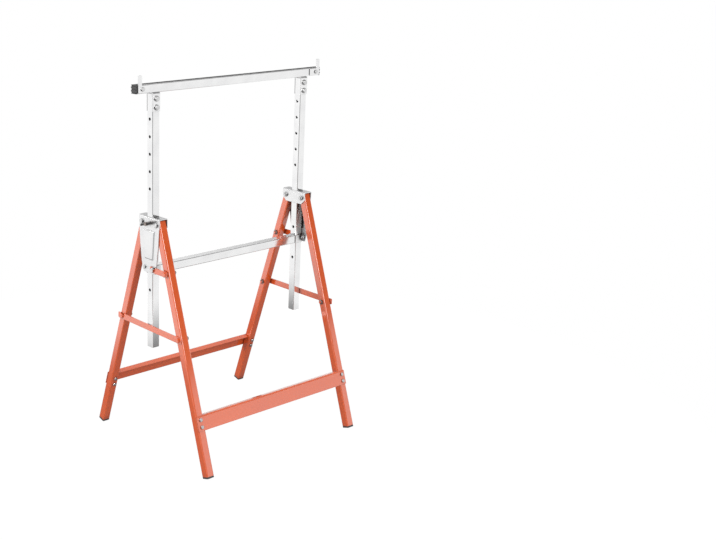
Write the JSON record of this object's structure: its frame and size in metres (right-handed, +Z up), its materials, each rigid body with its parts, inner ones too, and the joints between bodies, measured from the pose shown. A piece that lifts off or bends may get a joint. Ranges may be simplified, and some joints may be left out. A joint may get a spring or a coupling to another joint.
{
  "type": "builders trestle",
  "caption": "Folding steel trestle: a zinc beam on sliding posts, locked by T-bar pins in pressed heads, carried by splayed orange leg frames with hooked stays.",
  "frame": {"origin": "floor level, midway between the posts and between the front and rear feet", "axes": "+Z up, +X along the beam to the right as seen from the front, front on -Y"},
  "size_m": [0.706, 0.5414, 1.126],
  "materials": {
    "bright_zinc": "bright zinc plate",
    "orange_paint": "satin powder coat",
    "black_plastic": "moulded, matt",
    "black_bar": "black coating",
    "fastener_steel": "dull zinc"
  },
  "bodies": {
    "head_frame": {"head_left": "bright_zinc", "head_right": "bright_zinc", "crossbeam": "bright_zinc", "post_guide_left": "bright_zinc", "post_guide_right": "bright_zinc", "pivot_bolts": "fastener_steel", "pivot_nuts": "fastener_steel", "guide_bolts": "fastener_steel", "hook_bolts": "fastener_steel", "guide_nuts": "fastener_steel"},
    "mast": {"top_beam": "bright_zinc", "beam_plug_left": "black_plastic", "beam_plug_right": "black_plastic", "post_left": "bright_zinc", "post_right": "bright_zinc", "post_clip_left": "bright_zinc", "post_clip_right": "bright_zinc", "clip_bolts": "fastener_steel", "clip_nuts": "fastener_steel", "stop_bolts": "fastener_steel", "stop_nuts": "fastener_steel"},
    "left_stop": {"end_stop_left": "bright_zinc"},
    "right_stop": {"end_stop_right": "bright_zinc"},
    "left_lock": {"lock_pin_left": "fastener_steel", "lock_bar_left": "black_bar"},
    "right_lock": {"lock_pin_right": "fastener_steel", "lock_bar_right": "black_bar"},
    "front_frame": {"front_left_leg": "orange_paint", "front_right_leg": "orange_paint", "front_left_foot": "black_plastic", "front_right_foot": "black_plastic", "front_crossbar": "orange_paint", "front_crossbar_bolts": "fastener_steel", "front_crossbar_nuts": "fastener_steel", "stay_pivot_left": "orange_paint", "link_pivot_left": "orange_paint", "stay_stud_right": "orange_paint", "front_leg_nuts": "fastener_steel"},
    "rear_frame": {"rear_left_leg": "orange_paint", "rear_right_leg": "orange_paint", "rear_left_foot": "black_plastic", "rear_right_foot": "black_plastic", "rear_crossbar": "orange_paint", "rear_crossbar_bolts": "fastener_steel", "rear_crossbar_nuts": "fastener_steel", "stay_pivot_right": "orange_paint", "link_pivot_right": "orange_paint", "stay_stud_left": "orange_paint", "rear_leg_nuts": "fastener_steel"},
    "left_stay": {"stay_left": "orange_paint"},
    "right_stay": {"stay_right": "orange_paint"},
    "left_link": {"link_left": "orange_paint"},
    "right_link": {"link_right": "orange_paint"}
  },
  "joints": [
    {"name": "mast_slide", "type": "slide", "parent": "head_frame", "child": "mast", "axis": [0, 0, 1], "range_m": [-0.3, 0.2]},
    {"name": "front_fold", "type": "hinge", "parent": "head_frame", "child": "front_frame", "pos_m": [0, -0.034, 0.7], "axis": [1, 0, 0], "range_deg": [0, 14]},
    {"name": "rear_fold", "type": "hinge", "parent": "head_frame", "child": "rear_frame", "pos_m": [0, 0.034, 0.7], "axis": [-1, 0, 0], "range_deg": [0, 14]},
    {"name": "left_stay_drop", "type": "hinge", "parent": "front_frame", "child": "left_stay", "pos_m": [-0.2993, -0.1357, 0.385], "axis": [-1, 0, 0], "range_deg": [0, 105]},
    {"name": "right_stay_drop", "type": "hinge", "parent": "rear_frame", "child": "right_stay", "pos_m": [0.2993, 0.1357, 0.385], "axis": [1, 0, 0], "range_deg": [0, 105]},
    {"name": "left_link_drop", "type": "hinge", "parent": "front_frame", "child": "left_link", "pos_m": [-0.3021, -0.07726, 0.566], "axis": [-1, 0, 0], "range_deg": [0, 105]},
    {"name": "right_link_drop", "type": "hinge", "parent": "rear_frame", "child": "right_link", "pos_m": [0.3021, 0.07726, 0.566], "axis": [1, 0, 0], "range_deg": [0, 105]},
    {"name": "left_lock_push", "type": "slide", "parent": "head_frame", "child": "left_lock", "axis": [1, 0, 0], "range_m": [0, 0.006]},
    {"name": "right_lock_push", "type": "slide", "parent": "head_frame", "child": "right_lock", "axis": [-1, 0, 0], "range_m": [0, 0.006]},
    {"name": "left_stop_turn", "type": "hinge", "parent": "mast", "child": "left_stop", "pos_m": [-0.333, -0.0138, 1.0875], "axis": [0, -1, 0], "range_deg": [0, 180]},
    {"name": "right_stop_turn", "type": "hinge", "parent": "mast", "child": "right_stop", "pos_m": [0.333, -0.0138, 1.0875], "axis": [0, 1, 0], "range_deg": [0, 180]}
  ],
  "couplings": [
    {"joint": "rear_fold", "follows": "front_fold", "ratio": 1},
    {"joint": "left_stay_drop", "follows": "front_fold", "ratio": 7.5},
    {"joint": "right_stay_drop", "follows": "front_fold", "ratio": 7.5},
    {"joint": "left_link_drop", "follows": "front_fold", "ratio": 7.5},
    {"joint": "right_link_drop", "follows": "front_fold", "ratio": 7.5}
  ]
}
